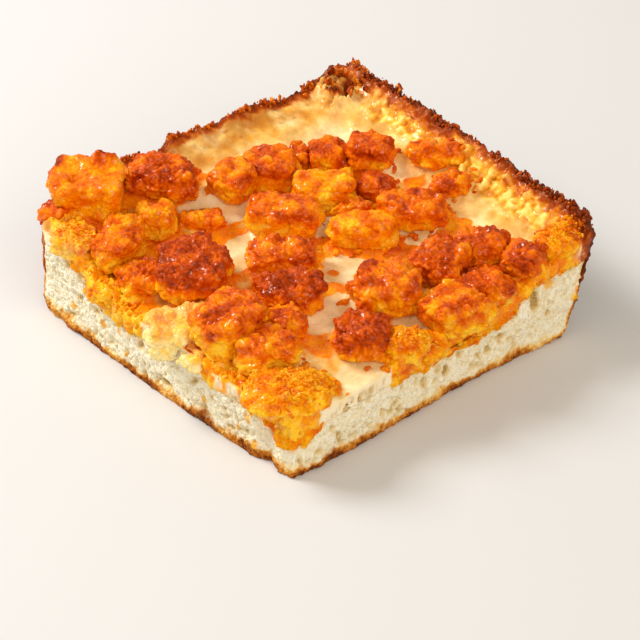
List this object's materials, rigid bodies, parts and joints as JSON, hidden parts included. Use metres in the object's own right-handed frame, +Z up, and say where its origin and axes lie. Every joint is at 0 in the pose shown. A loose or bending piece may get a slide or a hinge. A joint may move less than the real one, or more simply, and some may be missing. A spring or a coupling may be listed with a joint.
{
  "type": "detroit-style pizza slice",
  "caption": "Square corner slice of thick pan pizza with an airy crumb, melted cheese, a crisp caramelised rim and pieces of buffalo chicken.",
  "frame": {"origin": "centre of the box's base, on the flat bottom crust", "axes": "+Z up; the two cut faces point to +X and -Y and meet at the front corner; the pan-wall sides point to -X and +Y"},
  "size_m": [0.1286, 0.1292, 0.0403],
  "materials": {
    "bread_crumb": "dry open crumb on the cuts, golden to dark brown crust below and on the pan walls",
    "melted_cheese": "oily melted cheese, browned to dark red-brown at the crisp rim",
    "chicken": "rough meat coated in a wet orange-red sauce"
  },
  "bodies": {
    "root": {"dough": "bread_crumb", "cheese": "melted_cheese", "chicken_corner_cube": "chicken", "chicken_corner_scrap": "chicken", "chicken_left_crumbly": "chicken", "chicken_left_long": "chicken", "chicken_left_rugged": "chicken", "chicken_back_left_red": "chicken", "chicken_left_low": "chicken", "chicken_left_big": "chicken", "chicken_front_left_pale": "chicken", "chicken_front_round": "chicken", "chicken_front_inner": "chicken", "chicken_front_small": "chicken", "chicken_corner_drape": "chicken", "chicken_back_left_block": "chicken", "chicken_back_block": "chicken", "chicken_back_chip": "chicken", "chicken_back_wide_left": "chicken", "chicken_back_wide_right": "chicken", "chicken_back_yellow": "chicken", "chicken_back_red": "chicken", "chicken_middle_left": "chicken", "chicken_middle_slip": "chicken", "chicken_middle_chip": "chicken", "chicken_middle_long": "chicken", "chicken_middle_far": "chicken", "chicken_middle_low": "chicken", "chicken_middle_front": "chicken", "chicken_right_block": "chicken", "chicken_right_front": "chicken", "chicken_right_edge_small": "chicken", "chicken_right_edge_long": "chicken", "chicken_right_edge_mid": "chicken", "chicken_right_red": "chicken", "chicken_right_end": "chicken", "chicken_right_back_big": "chicken", "chicken_right_back_small": "chicken", "chicken_rim_orange": "chicken", "chicken_right_edge_drape": "chicken", "chicken_left_edge_drape": "chicken", "chicken_front_left_chip": "chicken", "chicken_rim_streaked": "chicken"}
  },
  "joints": []
}
